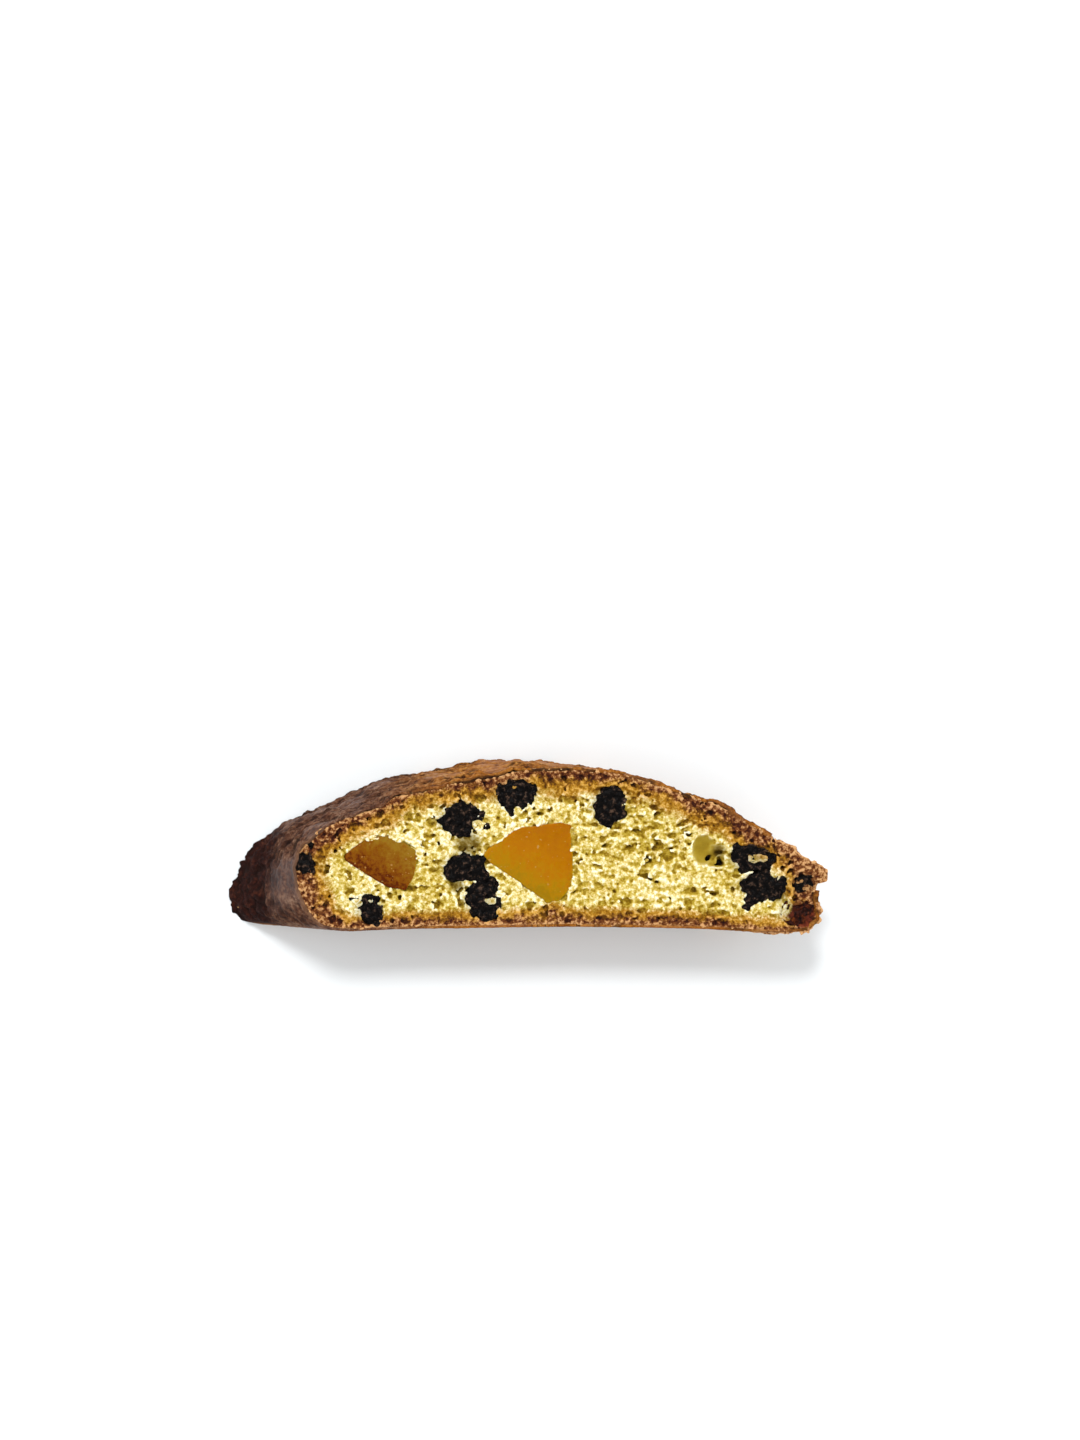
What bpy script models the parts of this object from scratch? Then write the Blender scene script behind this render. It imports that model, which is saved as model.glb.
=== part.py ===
"""A slice of twice-baked fruit loaf, a biscotto, lying on one of its two cut faces.

The loaf is a long low dome with a flat base. The knife crosses it on a slant, so the crust wall leans:
the underside's outline lies to the left of the upper cut face's. Pieces of candied fruit and dried
berries are sunk in pockets of the crumb and end at the face that they show in.

Lengths are in millimetres until they reach a mesh. +X runs along the slice, +Y towards the crown of the
dome and +Z up, through the thickness. The origin is at the middle of the underside's bounding box.
"""

import math

import bmesh
import bpy
from mathutils import Matrix, Vector, noise

MM = 0.001

THICKNESS = 18.0  # from cut face to cut face
SLANT = 14.5  # how far the loaf's length carries the outline to -X over the thickness
GAP = 0.3  # between a piece of fruit and the wall of its pocket
RECESS = 0.1  # how far fruit sits back from the face that it shows in
CUTTER_RISE = 1.0  # how far a pocket's cutter stands out of the face that it opens

OUTLINE_STEP = 2.3  # length of the facets along each face's outline
WALL_LEVELS = 6  # bands of facets up the crust wall
CRUST_BULGE = 0.25  # the crust's swelling between the two cut faces
CRUST_RELIEF = 0.35  # height of the humps on the crust
CRUST_GRAIN = 7.0  # size of those humps

# Going into the food, a piece of fruit narrows like the end of an egg: share of depth, share of width.
LUMP_PROFILE = ((0.0, 1.0), (0.4, 0.94), (0.75, 0.74), (1.0, 0.36))
BERRY_SIDES = 14
BERRY_DENT = 0.12  # how far a dried skin is dented, as a share of the berry's width
DICE_CORNER = 0.12  # share of a diced piece's side that its rounded corner takes

# Stations round the slice, anticlockwise from the base's left corner: x, y on the upper cut face and x, y
# on the underside. The base is nearly flat, the right end is broken and notched, and the left end is a
# blunt nose whose foot spread on the baking tray.
STATIONS = (
    (-35.8, -17.0, -53.1, -17.4),
    (-24.4, -16.6, -40.1, -17.6),
    (-4.4, -16.3, -19.3, -17.5),
    (11.6, -16.1, -3.7, -17.5),
    (35.6, -16.5, 20.3, -17.6),
    (48.6, -17.2, 34.8, -17.6),
    (56.8, -16.9, 42.8, -17.3),
    (59.4, -15.2, 45.5, -15.8),
    (60.0, -12.8, 46.3, -13.2),
    (59.3, -9.2, 45.7, -9.8),
    (61.2, -5.5, 46.6, -6.2),
    (59.6, -3.0, 45.4, -3.7),
    (53.6, 0.3, 40.1, -0.6),
    (50.6, 3.0, 36.9, 2.3),
    (43.2, 7.0, 30.1, 6.6),
    (40.0, 9.0, 26.5, 8.6),
    (31.6, 11.6, 18.6, 13.4),
    (25.6, 13.8, 12.3, 15.7),
    (15.6, 15.9, 1.5, 17.0),
    (5.6, 16.2, -8.9, 17.3),
    (0.6, 16.0, -14.1, 16.3),
    (-4.4, 14.8, -18.9, 15.4),
    (-14.4, 13.2, -28.1, 13.5),
    (-20.0, 11.6, -32.6, 12.2),
    (-25.4, 10.6, -36.8, 10.1),
    (-29.4, 8.2, -40.1, 8.3),
    (-38.4, 5.2, -48.1, 5.0),
    (-43.6, 1.0, -54.3, 0.6),
    (-46.0, -3.8, -58.4, -4.1),
    (-45.8, -6.6, -59.2, -7.3),
    (-45.0, -9.2, -60.8, -10.4),
    (-43.6, -12.4, -61.2, -13.0),
    (-40.6, -15.8, -58.6, -16.2),
)

# Candied fruit: the corners of the diced piece on its face, and its depth.
UPPER_DICE = {
    "apricot_middle": (
        (
            (-7.2, -1.5),
            (-4.4, 0.9),
            (0.3, 3.8),
            (9.4, 4.8),
            (10.2, -4.2),
            (9.6, -8.0),
            (7.4, -10.8),
            (4.6, -10.2),
            (-0.6, -6.4),
            (-5.4, -3.3),
        ),
        7.0,
    ),
    "apricot_left": (
        (
            (-35.2, -2.1),
            (-31.0, 1.6),
            (-25.0, 2.0),
            (-20.8, -1.2),
            (-21.9, -6.0),
            (-23.3, -8.3),
            (-25.8, -8.0),
            (-30.4, -5.4),
        ),
        6.0,
    ),
}
UNDER_DICE = {
    "under_apricot_right": (((9.0, 3.6), (17.8, 6.2), (20.4, -1.0), (15.2, -4.6), (8.6, -2.2)), 5.5),
    "under_apricot_left": (((-47.0, -6.0), (-42.4, -0.6), (-36.0, -2.4), (-37.8, -8.8), (-43.4, -9.8)), 5.0),
}

# Dried berries: x, y of the middle, the two half widths, the turn in degrees, and the depth.
UPPER_BERRIES = {
    "berry_crown": (-0.7, 10.5, 3.9, 2.8, 4, 5.0),
    "berry_upper_left": (-11.7, 5.6, 4.0, 3.2, 12, 5.5),
    "berry_middle_upper": (-11.2, -4.2, 3.8, 2.7, 14, 5.0),
    "berry_middle_lower": (-7.4, -10.7, 3.1, 3.9, 8, 5.5),
    "berry_upper_right": (18.0, 8.3, 2.8, 3.6, -14, 5.5),
    "berry_right_upper": (46.3, -2.2, 3.7, 2.3, -12, 4.5),
    "berry_right_lower": (48.7, -7.9, 4.2, 2.8, -10, 5.0),
    "berry_low_left": (-29.8, -12.7, 1.9, 3.0, 20, 4.5),
    "berry_nose": (-43.2, -3.2, 1.6, 1.9, 0, 2.5),
    "berry_end_lower": (55.2, -13.0, 2.6, 2.3, 30, 3.0),
    "berry_end_upper": (56.6, -7.2, 1.7, 1.3, 20, 2.0),
}
UNDER_BERRIES = {
    "under_berry_nose": (-54.0, -10.4, 2.4, 3.0, 15, 4.5),
    "under_berry_left": (-29.0, 3.6, 3.6, 2.8, -20, 5.0),
    "under_berry_low": (-23.4, -10.8, 3.2, 3.8, 25, 5.0),
    "under_berry_middle": (-6.0, 8.4, 3.7, 2.9, 10, 5.0),
    "under_berry_base": (1.6, -10.6, 3.9, 2.7, -8, 5.0),
    "under_berry_right": (29.4, -6.6, 3.0, 3.6, -18, 5.0),
}

# A hole that steam left beside a small berry, which lies at the bottom of it.
STEAM_HOLE = (37.2, -0.7, 2.6, 3.2, 12, 2.6)
HOLE_BERRY_NAME = "berry_in_hole"
HOLE_BERRY = (38.4, -2.7, 1.5, 0.9, -8, 1.8)
HOLE_FLOOR = 2.9  # how far below the cut face that berry's top lies

CRUMB_COLOUR = (0.72, 0.50, 0.17, 1.0)
APRICOT_COLOUR = (0.50, 0.19, 0.01, 1.0)
BERRY_COLOUR = (0.012, 0.008, 0.010, 1.0)


def finish(name, colour, roughness):
    """A plain material."""
    made = bpy.data.materials.new(name)
    made.use_nodes = True
    shader = made.node_tree.nodes["Principled BSDF"]
    shader.inputs["Base Color"].default_value = colour
    shader.inputs["Roughness"].default_value = roughness
    return made


def spline_point(a, b, c, d, t):
    """Catmull-Rom: the point at t between b and c, where a comes before them and d after."""
    return 0.5 * (2 * b + (c - a) * t + (2 * a - 5 * b + 4 * c - d) * t**2 + (3 * b - a - 3 * c + d) * t**3)


def closed_spline(stations, step):
    """Points about one step apart on a smooth closed line through the stations."""
    points = []
    count = len(stations)
    for i, here in enumerate(stations):
        before, after = stations[i - 1], stations[(i + 1) % count]
        beyond = stations[(i + 2) % count]
        face_length = (after - here).length / math.sqrt(2)  # a station moves on both faces at once
        pieces = max(1, round(face_length / step))
        points += [spline_point(before, here, after, beyond, k / pieces) for k in range(pieces)]
    return points


def outward(points):
    """The outward direction at each point of an anticlockwise closed line."""
    count = len(points)
    along = [points[(i + 1) % count] - points[i - 1] for i in range(count)]
    return [Vector((d.y, -d.x)).normalized() for d in along]


def middle_shift(outline):
    """The move that puts the middle of the bounding box at the origin."""
    xs = [p.x for p in outline] + [p.z for p in outline]
    ys = [p.y for p in outline] + [p.w for p in outline]
    return Vector((-(min(xs) + max(xs)) / 2, -(min(ys) + max(ys)) / 2))


# Each point holds x, y on the upper cut face and x, y on the underside.
OUTLINE = closed_spline([Vector(station) for station in STATIONS], OUTLINE_STEP)
SHIFT = middle_shift(OUTLINE)


def wall_ring(level):
    """The slice's outline at a level of its thickness, from 0 at the underside to 1 at the upper cut face."""
    flat = [p.zw.lerp(p.xy, level) for p in OUTLINE]
    height = THICKNESS * level
    swell = math.sin(math.pi * level)
    ring = []
    for point, away in zip(flat, outward(flat)):
        hump = CRUST_BULGE + CRUST_RELIEF * noise.noise(Vector((*point, height)) / CRUST_GRAIN)
        off_base = 1 - max(0.0, -away.y)  # the base was baked flat on the tray
        moved = point + away * (hump * swell * off_base) + SHIFT
        ring.append(Vector((*moved, height)))
    return ring


def solid_through(bm, rings):
    """A closed solid: the first ring's face, extruded to each of the other rings in turn."""
    face = bm.faces.new([bm.verts.new(point) for point in rings[0]])
    start = face
    for ring in rings[1:]:
        grown = bmesh.ops.extrude_face_region(bm, geom=[face])["geom"]
        if face is not start:
            bmesh.ops.delete(bm, geom=[face], context="FACES_ONLY")
        face = next(part for part in grown if isinstance(part, bmesh.types.BMFace))
        for vertex, place in zip(face.verts, ring):
            vertex.co = place


def lump_rings(corners, top, depth, side, grow=0.0):
    """Rings of a piece of fruit. It starts at the height top and goes depth into the food: down if side is
    1, up if it is -1. It leans as the loaf does. grow moves its sides and its end out, for its pocket."""
    middle = sum(corners, Vector((0.0, 0.0))) / len(corners)
    full_depth = depth + grow
    rings = []
    for down, width in LUMP_PROFILE:
        lean = Vector((-SLANT / THICKNESS * side * full_depth * down, 0.0))
        small = [middle + (corner - middle) * width for corner in corners]
        spread = [corner + away * grow for corner, away in zip(small, outward(small))]
        rings.append([Vector((*(c + lean + SHIFT), top - side * full_depth * down)) for c in spread])
    return rings


def cutter_rings(corners, top, depth, side):
    """Rings of the pocket round a piece of fruit, with one more that stands out of the face."""
    rings = lump_rings(corners, top, depth, side, GAP)
    mouth = [point + Vector((0.0, 0.0, side * CUTTER_RISE)) for point in rings[0]]
    return [mouth] + rings


def dice_corners(corners):
    """A diced piece's outline, with two points at each corner so that it is blunt."""
    points = [Vector(corner) for corner in corners]
    blunt = []
    for i, here in enumerate(points):
        blunt.append(here.lerp(points[i - 1], DICE_CORNER))
        blunt.append(here.lerp(points[(i + 1) % len(points)], DICE_CORNER))
    if sum(a.cross(b) for a, b in zip(blunt, blunt[1:] + blunt[:1])) < 0:
        blunt.reverse()  # the outline has to run anticlockwise
    return blunt


def berry_corners(x, y, half_long, half_wide, turn):
    """A berry's outline: an ellipse, dented as a dried skin is."""
    turned = Matrix.Rotation(math.radians(turn), 2)
    corners = []
    for k in range(BERRY_SIDES):
        angle = 2 * math.pi * k / BERRY_SIDES
        round_point = Vector((math.cos(angle), math.sin(angle)))
        dent = 1 + BERRY_DENT * noise.noise(Vector((x + round_point.x, y + round_point.y, 0.0)))
        point = Vector((half_long * round_point.x, half_wide * round_point.y)) * dent
        corners.append(Vector((x, y)) + turned @ point)
    return corners


def object_of(name, solids, material):
    """A named object whose mesh holds one closed solid for each list of rings in solids."""
    bm = bmesh.new()
    for rings in solids:
        solid_through(bm, rings)
    bmesh.ops.recalc_face_normals(bm, faces=bm.faces)
    bmesh.ops.scale(bm, vec=(MM, MM, MM), verts=bm.verts)
    mesh = bpy.data.meshes.new(name)
    bm.to_mesh(mesh)
    bm.free()
    mesh.materials.append(material)
    made = bpy.data.objects.new(name, mesh)
    bpy.context.scene.collection.objects.link(made)
    return made


def fruit_pieces():
    """Every piece of fruit as (name, outline, height of its face, depth, side, material)."""
    apricot = finish("apricot", APRICOT_COLOUR, roughness=0.3)
    berry = finish("berry", BERRY_COLOUR, roughness=0.5)
    faces = (
        (UPPER_DICE, UPPER_BERRIES, THICKNESS - RECESS, 1),
        (UNDER_DICE, UNDER_BERRIES, RECESS, -1),
    )
    pieces = []
    for dice, berries, top, side in faces:
        for name, (corners, depth) in dice.items():
            pieces.append((name, dice_corners(corners), top, depth, side, apricot))
        for name, (*shape, depth) in berries.items():
            pieces.append((name, berry_corners(*shape), top, depth, side, berry))
    *shape, depth = HOLE_BERRY
    pieces.append((HOLE_BERRY_NAME, berry_corners(*shape), THICKNESS - HOLE_FLOOR, depth, 1, berry))
    return pieces


def cut(target, cutter):
    """Takes the cutter's shape out of the target and hides the cutter."""
    cutter.hide_render = True
    cutter.display_type = "WIRE"
    modifier = target.modifiers.new(cutter.name, "BOOLEAN")
    modifier.operation = "DIFFERENCE"
    modifier.solver = "EXACT"
    modifier.use_self = True  # neighbouring pockets run into each other
    modifier.object = cutter


def main():
    for old in list(bpy.data.objects):
        bpy.data.objects.remove(old, do_unlink=True)
    crumb = finish("crumb", CRUMB_COLOUR, roughness=0.85)
    levels = [wall_ring(k / WALL_LEVELS) for k in range(WALL_LEVELS + 1)]
    biscotto = object_of("biscotto", [levels], crumb)

    pockets = []
    for name, corners, top, depth, side, material in fruit_pieces():
        object_of(name, [lump_rings(corners, top, depth, side)], material)
        pockets.append(cutter_rings(corners, top, depth, side))
    cut(biscotto, object_of("pockets", pockets, crumb))

    *shape, depth = STEAM_HOLE
    hole = cutter_rings(berry_corners(*shape), THICKNESS, depth, 1)
    cut(biscotto, object_of("steam_hole", [hole], crumb))


main()
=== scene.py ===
# %% [markdown]
# # A biscotto, sliced from a twice-baked fruit loaf
# The slice lies on one cut face and shows the other. Its crumb is a hard, dry sponge full of small holes,
# its
# skin is a thin brown crust, and candied apricot and dried berries are sunk in it. The sizes and places come
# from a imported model, the frame. This lesson builds the looks round it: the holes, wrinkles and browning.
# Work is done in millimetres, and a mesh is scaled to metres as it is finished.

# %% Load the frame
import math

import bmesh
import bpy
import numpy as np
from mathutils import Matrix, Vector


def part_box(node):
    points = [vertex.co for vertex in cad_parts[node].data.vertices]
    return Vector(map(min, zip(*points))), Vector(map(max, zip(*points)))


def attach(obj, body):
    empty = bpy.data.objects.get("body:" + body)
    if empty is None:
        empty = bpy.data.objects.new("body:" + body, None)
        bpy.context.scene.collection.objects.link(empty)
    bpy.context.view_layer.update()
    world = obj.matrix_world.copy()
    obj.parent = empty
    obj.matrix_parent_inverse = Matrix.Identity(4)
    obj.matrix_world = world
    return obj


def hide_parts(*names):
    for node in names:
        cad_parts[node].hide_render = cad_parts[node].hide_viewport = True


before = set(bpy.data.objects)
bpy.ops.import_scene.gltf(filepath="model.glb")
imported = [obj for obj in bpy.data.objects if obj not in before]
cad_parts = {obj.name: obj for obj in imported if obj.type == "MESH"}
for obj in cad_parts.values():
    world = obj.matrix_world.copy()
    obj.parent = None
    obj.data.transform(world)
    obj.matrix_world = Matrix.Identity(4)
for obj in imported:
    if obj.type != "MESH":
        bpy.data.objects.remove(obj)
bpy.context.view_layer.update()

import openvdb as vdb
from mathutils import Matrix, Vector, noise

MM = 0.001
LOW, HIGH = (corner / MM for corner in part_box("biscotto"))
THICKNESS = HIGH.z - LOW.z
print("the slice measures", [round(v, 1) for v in HIGH - LOW], "mm")

# %% [markdown]
# ## The crust wall, read from the frame
# The frame's body is a solid with pockets. Its outer wall is what the crust follows, and every browned or
# pale place depends on how deep it lies under that wall. So the wall is taken out first: a copy is merged,
# its
# flat faces are deleted, and of the separate walls that are left the longest one is kept.


# %% Take out the outer wall
def merged_copy(node):
    """A bmesh of a CAD node in millimetres, with its loose triangles merged."""
    bm = bmesh.new()
    bm.from_mesh(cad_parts[node].data)
    bmesh.ops.scale(bm, vec=(1 / MM,) * 3, verts=bm.verts)
    bmesh.ops.remove_doubles(bm, verts=bm.verts, dist=0.001)
    return bm


def islands(bm):
    """The vertices of each separate part of a bmesh, as a list of lists."""
    seen = set()
    found = []
    for start in bm.verts:
        if start in seen:
            continue
        seen.add(start)
        island = [start]
        for vertex in island:
            for edge in vertex.link_edges:
                other = edge.other_vert(vertex)
                if other not in seen:
                    seen.add(other)
                    island.append(other)
        found.append(island)
    return found


def longest_part_only(bm):
    """Deletes all but the part that is longest along X."""
    parts = sorted(islands(bm), key=lambda part: max(v.co.x for v in part) - min(v.co.x for v in part))
    bmesh.ops.delete(bm, geom=[v for part in parts[:-1] for v in part], context="VERTS")


def outer_wall():
    """The loaf's outer wall as an open sheet of quads."""
    bm = merged_copy("biscotto")
    lying = [face for face in bm.faces if abs(face.normal.z) > 0.9]
    bmesh.ops.delete(bm, geom=lying, context="FACES")
    longest_part_only(bm)
    bmesh.ops.join_triangles(
        bm, faces=bm.faces, angle_face_threshold=math.pi, angle_shape_threshold=math.pi
    )
    return bm


wall = outer_wall()
print("the wall has", len(wall.faces), "faces, and", sum(len(f.verts) == 4 for f in wall.faces), "are quads")

# %% [markdown]
# ## How deep is a point under the crust?
# A level set answers that: a block of numbers, each holding the distance to a surface. The wall sheet is
# drawn
# out beyond both cut faces along the loaf's lean and closed, so the distance counts only from the crust, and
# not from the cut faces. OpenVDB, which Blender's own remesher uses, then fills the block.

# %% Make the block of depths
LEAN = Vector((14.5, 0.0, 18.0)).normalized()  # the loaf's length, across the slanted cut
BEYOND = 12.0  # how far the wall is drawn out past each cut face
COARSE = 0.5  # between the numbers of the block
BAND = 24  # how many steps from the wall the block still knows its distance


def level_set(bm, step, band):
    """An OpenVDB grid of distances to a closed bmesh, negative inside."""
    bmesh.ops.triangulate(bm, faces=bm.faces)
    bm.verts.index_update()
    points = np.array([v.co for v in bm.verts], np.float32)
    triangles = np.array([[v.index for v in f.verts] for f in bm.faces], np.uint32)
    transform = vdb.createLinearTransform(voxelSize=step)
    return vdb.FloatGrid.createLevelSetFromPolygons(
        points, triangles=triangles, transform=transform, halfWidth=band
    )


def drawn_out(bm):
    """A closed copy of the wall, longer at both ends along the lean."""
    bm = bm.copy()
    for end, way in ((THICKNESS, 1), (0.0, -1)):
        rim = [e for e in bm.edges if e.is_boundary and all(abs(v.co.z - end) < 0.5 for v in e.verts)]
        grown = bmesh.ops.extrude_edge_only(bm, edges=rim)["geom"]
        moved = [part for part in grown if isinstance(part, bmesh.types.BMVert)]
        bmesh.ops.translate(bm, vec=LEAN * BEYOND * way, verts=moved)
        edges = [e for e in bm.edges if e.is_boundary and all(v in set(moved) for v in e.verts)]
        bmesh.ops.edgeloop_fill(bm, edges=edges)
    bmesh.ops.recalc_face_normals(bm, faces=bm.faces)
    return bm


def smooth_weights(places, count):
    """Rows of weights that read a smooth curve through `count` values at places between them."""
    away = np.abs(places[:, None] - np.arange(count))
    near = 2 / 3 - away**2 + away**3 / 2
    far = (2 - away) ** 3 / 6
    return np.where(away < 1, near, np.where(away < 2, far, 0.0)).astype(np.float32)


def read_block(values, places):
    """Reads a block of numbers smoothly at every crossing of three lists of places."""
    for axis_places, count in zip(places, values.shape):
        values = np.tensordot(values, smooth_weights(axis_places, count), (0, 1))
    return values


def read_at(values, places):
    """Reads a block of numbers at points, given as an array of three places each."""
    places = np.clip(places, 0, np.array(values.shape) - 1.001)
    low = places.astype(int)
    part = places - low
    total = np.zeros(len(places), np.float32)
    for corner in np.ndindex(2, 2, 2):
        weight = np.prod(np.where(corner, part, 1 - part), axis=1)
        total += weight * values[tuple((low + corner).T)]
    return total


wall_grid = level_set(drawn_out(wall), COARSE, BAND)
MARGIN = 8.0
DEPTH_FROM = np.floor((np.array(LOW) - MARGIN) / COARSE).astype(int)
DEPTH_SHAPE = np.ceil((np.array(HIGH) + MARGIN) / COARSE).astype(int) - DEPTH_FROM
DEPTHS = np.zeros(DEPTH_SHAPE, np.float32)
wall_grid.copyToArray(DEPTHS, ijk=tuple(int(i) for i in DEPTH_FROM))
DEPTHS *= -1  # positive under the crust


def under_crust_at(points):
    """How deep points lie under the crust, in millimetres."""
    return read_at(DEPTHS, np.array(points) / COARSE - DEPTH_FROM)


print("depths from", DEPTHS.min(), "to", DEPTHS.max(), "mm in a block of", DEPTHS.shape)

# %% [markdown]
# ## Helpers that every piece uses
# A piece is finished by scaling its bmesh to metres and putting it in an object that sits at the origin.
# Modifiers such as Remesh and Decimate do heavy work on a mesh, so one helper runs a modifier and hands the
# result back. Blender's noise gives the same lumps every time, because it is read by position.


# %% Helpers for meshes
def to_object(bm, name):
    """An object that holds the bmesh."""
    mesh = bpy.data.meshes.new(name)
    bm.to_mesh(mesh)
    bm.free()
    made = bpy.data.objects.new(name, mesh)
    bpy.context.scene.collection.objects.link(made)
    return made


def after_modifier(bm, kind, **settings):
    """The bmesh as a modifier leaves it."""
    carrier = to_object(bm, "carrier")
    modifier = carrier.modifiers.new(kind, kind)
    for name, value in settings.items():
        setattr(modifier, name, value)
    shown = carrier.evaluated_get(bpy.context.evaluated_depsgraph_get())
    result = bmesh.new()
    result.from_mesh(shown.to_mesh())
    mesh = carrier.data
    bpy.data.objects.remove(carrier)
    bpy.data.meshes.remove(mesh)
    return result


def triangles_in(bm):
    """How many triangles the bmesh's faces make."""
    return sum(len(face.verts) - 2 for face in bm.faces)


def finished(bm, name, most=195000):
    """A smooth-shaded object in metres, thinned if it has too many triangles."""
    if triangles_in(bm) > most:
        bm = after_modifier(bm, "DECIMATE", ratio=most / triangles_in(bm))
    bmesh.ops.scale(bm, vec=(MM,) * 3, verts=bm.verts)
    for face in bm.faces:
        face.smooth = True
    count = triangles_in(bm)
    made = to_object(bm, name)
    print(f"{name}: {count} triangles")
    return made


def bump(point, size, seed=0.0):
    """A lump of that size at a point, from -1 to 1."""
    return noise.noise(point / size + Vector((seed, seed, seed)))


def crease(point, size, seed=0.0):
    """Sharp ridges about one size apart, from 0 in a furrow to 1 on a ridge."""
    return 1 - min(1.0, 2.2 * abs(bump(point, size, seed)))


# %% [markdown]
# ## Dried berries
# A berry that dries in the oven shrinks into deep folds, and the knife then drags its flesh flat at the cut
# face. Modelling each fold by hand would take hours. Instead a copy of the frame's plain berry is swollen a
# little, so that it fills its pocket, and joined with a few small balls where its outline is torn. A voxel
# remesh melts them together into even quads, and every vertex is moved along its normal by folded noise.

# %% Shape the berries
BERRY_VOXEL = 0.22
FILL = 0.35  # how far fruit swells to close the gap round it
FOLD_DEPTH = 0.55
FOLD_SIZE = 2.1
GRAIN_DEPTH = 0.2
GRAIN_SIZE = 0.8
SUNK = 0.12  # the knife dragged the flesh at least this far below the cut
SCRAPE = 0.75  # how much lower still its hollows lie

# Small balls that make an outline ragged, or fill a corner: x, y and radius on the face.
LOBES = {
    "berry_crown": ((-3.3, 8.2, 1.2), (-2.4, 7.0, 0.9), (2.7, 11.4, 0.9), (-4.0, 10.0, 1.0)),
    "berry_upper_left": ((-8.4, 6.8, 1.0), (-14.3, 4.5, 0.9), (-11.0, 3.0, 0.8), (-6.9, 4.1, 0.8)),
    "berry_middle_upper": ((-13.2, -4.8, 1.7), (-8.4, -5.6, 2.0), (-7.9, -2.2, 0.9), (-14.2, -3.9, 0.8)),
    "berry_middle_lower": ((-6.1, -7.4, 2.0), (-9.1, -11.6, 1.5), (-5.4, -12.5, 1.2), (-7.0, -14.0, 1.1)),
    "berry_upper_right": ((18.4, 11.5, 0.9), (20.4, 6.6, 0.9), (17.4, 5.0, 1.1), (15.2, 8.2, 0.9)),
    "berry_right_upper": ((43.2, 0.2, 1.0), (50.0, -1.9, 1.0), (44.4, -4.4, 1.4), (49.2, -4.6, 1.6)),
    "berry_right_lower": ((52.2, -6.7, 1.1), (46.0, -10.6, 1.7), (45.0, -12.0, 1.1), (48.6, -6.0, 2.2)),
    "berry_low_left": ((-34.3, -10.3, 0.6), (-32.9, -10.3, 0.8), (-31.4, -10.1, 1.0), (-29.2, -10.4, 0.9)),
    "berry_nose": ((-43.6, -1.5, 0.9), (-42.4, 0.4, 0.7), (-41.9, -4.4, 0.7)),
    "berry_end_lower": ((57.5, -12.2, 1.2), (53.5, -14.6, 0.8)),
    "berry_end_upper": ((57.8, -5.6, 0.8), (55.7, -8.4, 0.7)),
    "apricot_middle": ((9.3, 4.3, 0.7), (7.9, 4.4, 0.8), (5.2, -10.4, 0.8), (-6.7, -1.6, 0.6)),
    "apricot_left": ((-34.6, -2.2, 0.5), (-23.6, -7.9, 0.7)),
    "berry_in_hole": ((37.5, -2.6, 0.8), (38.6, -2.9, 0.9), (39.6, -3.1, 0.8)),
}


def is_under(node):
    """Whether a piece of fruit shows in the underside."""
    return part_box(node)[0].z < THICKNESS * MM / 4


def swollen(node):
    """A merged copy of a piece of fruit, moved out along its normals."""
    bm = merged_copy(node)
    for vertex in bm.verts:
        vertex.co += vertex.normal * FILL
    return bm


def with_balls(bm, node, face):
    """The bmesh with the small balls that belong to its outline."""
    for x, y, radius in LOBES.get(node, ()):
        place = Matrix.Translation((x, y, face - radius * 0.7))
        bmesh.ops.create_icosphere(bm, subdivisions=2, radius=radius, matrix=place)
    return bm


def folded_berry(node):
    """A wrinkled berry in a CAD berry's place, as a bmesh that fills its pocket up to the cut."""
    bm = swollen(node)
    low, high = (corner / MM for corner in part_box(node))
    face = low.z if is_under(node) else high.z
    bm = after_modifier(with_balls(bm, node, face), "REMESH", mode="VOXEL", voxel_size=BERRY_VOXEL)
    bm.normal_update()
    for vertex in bm.verts:
        fold = FOLD_DEPTH * (crease(vertex.co, FOLD_SIZE) - 0.6)
        grain = GRAIN_DEPTH * (crease(vertex.co, GRAIN_SIZE, 5.0) - 0.5)
        vertex.co += vertex.normal * (fold + grain)
    return bm


def scraped(bm, up):
    """A copy of the berry as the knife left it, dragged down in hollows below the cut."""
    bm = bm.copy()
    cut = THICKNESS if up > 0 else 0.0
    for vertex in bm.verts:
        hollow = 1 - 0.6 * crease(vertex.co, 1.5, 9.0) - 0.4 * crease(vertex.co, 0.7, 3.0)
        top = cut - up * (SUNK + SCRAPE * hollow)
        vertex.co.z = min(vertex.co.z, top) if up > 0 else max(vertex.co.z, top)
    bmesh.ops.smooth_vert(bm, verts=bm.verts, factor=0.3, use_axis_x=True, use_axis_y=True, use_axis_z=True)
    return bm


BERRIES = [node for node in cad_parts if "berry" in node]
POCKETS = {node: folded_berry(node) for node in BERRIES}
FRUIT = {node: scraped(bm, -1 if is_under(node) else 1) for node, bm in POCKETS.items()}
print(len(BERRIES), "berries,", sum(triangles_in(bm) for bm in FRUIT.values()), "triangles")

# %% [markdown]
# ## Candied apricot
# Candied fruit is soaked in syrup until it is clear like jelly, then diced, so it has flat sides, blunt
# corners
# and a smooth cut face. Its frame shape only needs an even mesh, soft edges and a very slight wave.

# %% Shape the apricot
APRICOT_VOXEL = 0.26
APRICOT_WAVE = 0.16
APRICOT_SUNK = 0.2  # its face lies this far below the cut


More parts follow.
